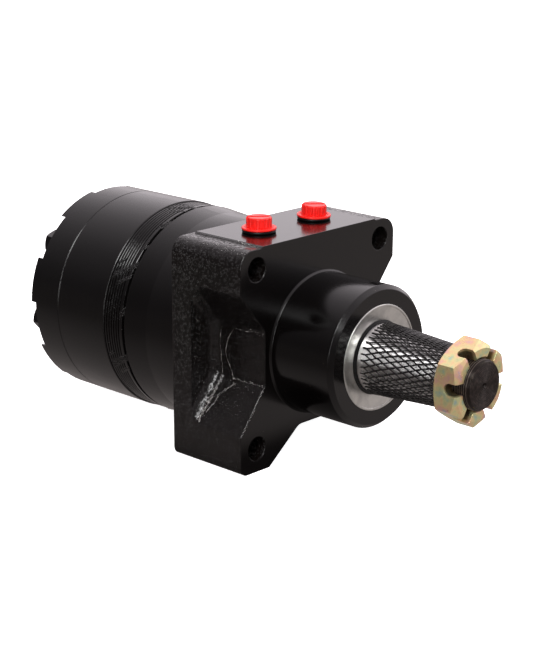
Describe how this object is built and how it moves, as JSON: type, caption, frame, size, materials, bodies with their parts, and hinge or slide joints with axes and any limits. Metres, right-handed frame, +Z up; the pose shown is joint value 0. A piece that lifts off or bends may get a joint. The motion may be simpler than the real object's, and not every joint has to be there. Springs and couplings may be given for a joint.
{
  "type": "hydraulic motor",
  "caption": "Orbital hydraulic motor: cast square flange with pilot nose, round ring stack behind, tapered keyed shaft in a net sleeve with a castle nut, and plugged oil ports on top.",
  "frame": {"origin": "on the shaft axis at the front mounting face of the square flange, the centre of its bolt pattern", "axes": "+X along the output shaft towards its threaded end, +Z up through the port pad, +Y to the side away from the viewer"},
  "size_m": [0.3042, 0.13, 0.1399],
  "materials": {
    "black_paint": "satin black paint",
    "hard_steel": "ground",
    "cage_steel": "pressed",
    "ground_steel": "ground",
    "zinc_ring": "bright zinc",
    "seal_rubber": "matt",
    "bronze_plate": "lapped",
    "yellow_zinc": "yellow zinc plating",
    "black_net": "satin net",
    "red_plastic": "moulded"
  },
  "bodies": {
    "motor_body": {"housing": "black_paint", "front_bearing_race": "hard_steel", "rear_bearing_race": "hard_steel", "thrust_washer_front": "hard_steel", "backup_washer": "zinc_ring", "shaft_seal": "seal_rubber", "dust_seal": "seal_rubber", "seal_retainer": "zinc_ring", "stator_ring": "black_paint", "manifold_plate_1": "black_paint", "manifold_plate_2": "black_paint", "manifold_plate_3": "black_paint", "manifold_plate_4": "black_paint", "manifold_plate_5": "black_paint", "manifold_plate_6": "black_paint", "manifold_plate_7": "black_paint", "balance_plate": "bronze_plate", "end_cover": "black_paint", "body_seal_front": "seal_rubber", "body_seal_middle": "seal_rubber", "body_seal_rear": "seal_rubber", "body_bolts": "black_paint", "port_plug_a": "red_plastic", "plug_oring_a": "seal_rubber", "port_plug_b": "red_plastic", "plug_oring_b": "seal_rubber"},
    "shaft": {"output_shaft": "ground_steel", "shaft_key": "ground_steel", "net_sleeve": "black_net", "castle_nut": "yellow_zinc", "thrust_washer_rear": "hard_steel"},
    "front_bearing": {"front_bearing_cage": "cage_steel", "front_bearing_rollers": "hard_steel"},
    "rear_bearing": {"rear_bearing_cage": "cage_steel", "rear_bearing_rollers": "hard_steel"},
    "thrust_bearing": {"thrust_cage": "cage_steel", "thrust_needles": "hard_steel"},
    "orbit_carrier": {"link_spacer": "hard_steel"},
    "rotor": {"rotor": "hard_steel"},
    "drive_link": {"drive_link": "ground_steel"},
    "stator_roller_1": {"stator_roller_1": "hard_steel"},
    "stator_roller_2": {"stator_roller_2": "hard_steel"},
    "stator_roller_3": {"stator_roller_3": "hard_steel"},
    "stator_roller_4": {"stator_roller_4": "hard_steel"},
    "stator_roller_5": {"stator_roller_5": "hard_steel"},
    "stator_roller_6": {"stator_roller_6": "hard_steel"},
    "stator_roller_7": {"stator_roller_7": "hard_steel"}
  },
  "joints": [
    {"name": "shaft_spin", "type": "hinge", "parent": "motor_body", "child": "shaft", "pos_m": [0.06, 0, 0], "axis": [1, 0, 0], "continuous": true},
    {"name": "front_bearing_spin", "type": "hinge", "parent": "motor_body", "child": "front_bearing", "pos_m": [0.015, 0, 0], "axis": [1, 0, 0], "continuous": true},
    {"name": "rear_bearing_spin", "type": "hinge", "parent": "motor_body", "child": "rear_bearing", "pos_m": [-0.074, 0, 0], "axis": [1, 0, 0], "continuous": true},
    {"name": "thrust_bearing_spin", "type": "hinge", "parent": "motor_body", "child": "thrust_bearing", "pos_m": [-0.0005, 0, 0], "axis": [1, 0, 0], "continuous": true},
    {"name": "rotor_orbit", "type": "hinge", "parent": "motor_body", "child": "orbit_carrier", "pos_m": [-0.045, 0, 0], "axis": [1, 0, 0], "continuous": true},
    {"name": "rotor_spin", "type": "hinge", "parent": "orbit_carrier", "child": "rotor", "pos_m": [-0.13585, -0.00142, 0.00309], "axis": [1, 0, 0], "continuous": true},
    {"name": "link_spin", "type": "hinge", "parent": "orbit_carrier", "child": "drive_link", "pos_m": [-0.045, 0, 0], "axis": [0.9993, 0.0156, -0.034], "continuous": true},
    {"name": "stator_roller_1_spin", "type": "hinge", "parent": "motor_body", "child": "stator_roller_1", "pos_m": [-0.13585, -0.01672, 0.03634], "axis": [1, 0, 0], "continuous": true},
    {"name": "stator_roller_2_spin", "type": "hinge", "parent": "motor_body", "child": "stator_roller_2", "pos_m": [-0.13585, -0.03884, 0.00958], "axis": [1, 0, 0], "continuous": true},
    {"name": "stator_roller_3_spin", "type": "hinge", "parent": "motor_body", "child": "stator_roller_3", "pos_m": [-0.13585, -0.0317, -0.02439], "axis": [1, 0, 0], "continuous": true},
    {"name": "stator_roller_4_spin", "type": "hinge", "parent": "motor_body", "child": "stator_roller_4", "pos_m": [-0.13585, -0.0007, -0.03999], "axis": [1, 0, 0], "continuous": true},
    {"name": "stator_roller_5_spin", "type": "hinge", "parent": "motor_body", "child": "stator_roller_5", "pos_m": [-0.13585, 0.03083, -0.02548], "axis": [1, 0, 0], "continuous": true},
    {"name": "stator_roller_6_spin", "type": "hinge", "parent": "motor_body", "child": "stator_roller_6", "pos_m": [-0.13585, 0.03915, 0.00822], "axis": [1, 0, 0], "continuous": true},
    {"name": "stator_roller_7_spin", "type": "hinge", "parent": "motor_body", "child": "stator_roller_7", "pos_m": [-0.13585, 0.01798, 0.03573], "axis": [1, 0, 0], "continuous": true}
  ],
  "couplings": [
    {"joint": "rotor_orbit", "follows": "shaft_spin", "ratio": -6},
    {"joint": "rotor_spin", "follows": "shaft_spin", "ratio": 7},
    {"joint": "link_spin", "follows": "shaft_spin", "ratio": 7},
    {"joint": "front_bearing_spin", "follows": "shaft_spin", "ratio": 0.43186},
    {"joint": "rear_bearing_spin", "follows": "shaft_spin", "ratio": 0.4419},
    {"joint": "thrust_bearing_spin", "follows": "shaft_spin", "ratio": 0.5}
  ]
}
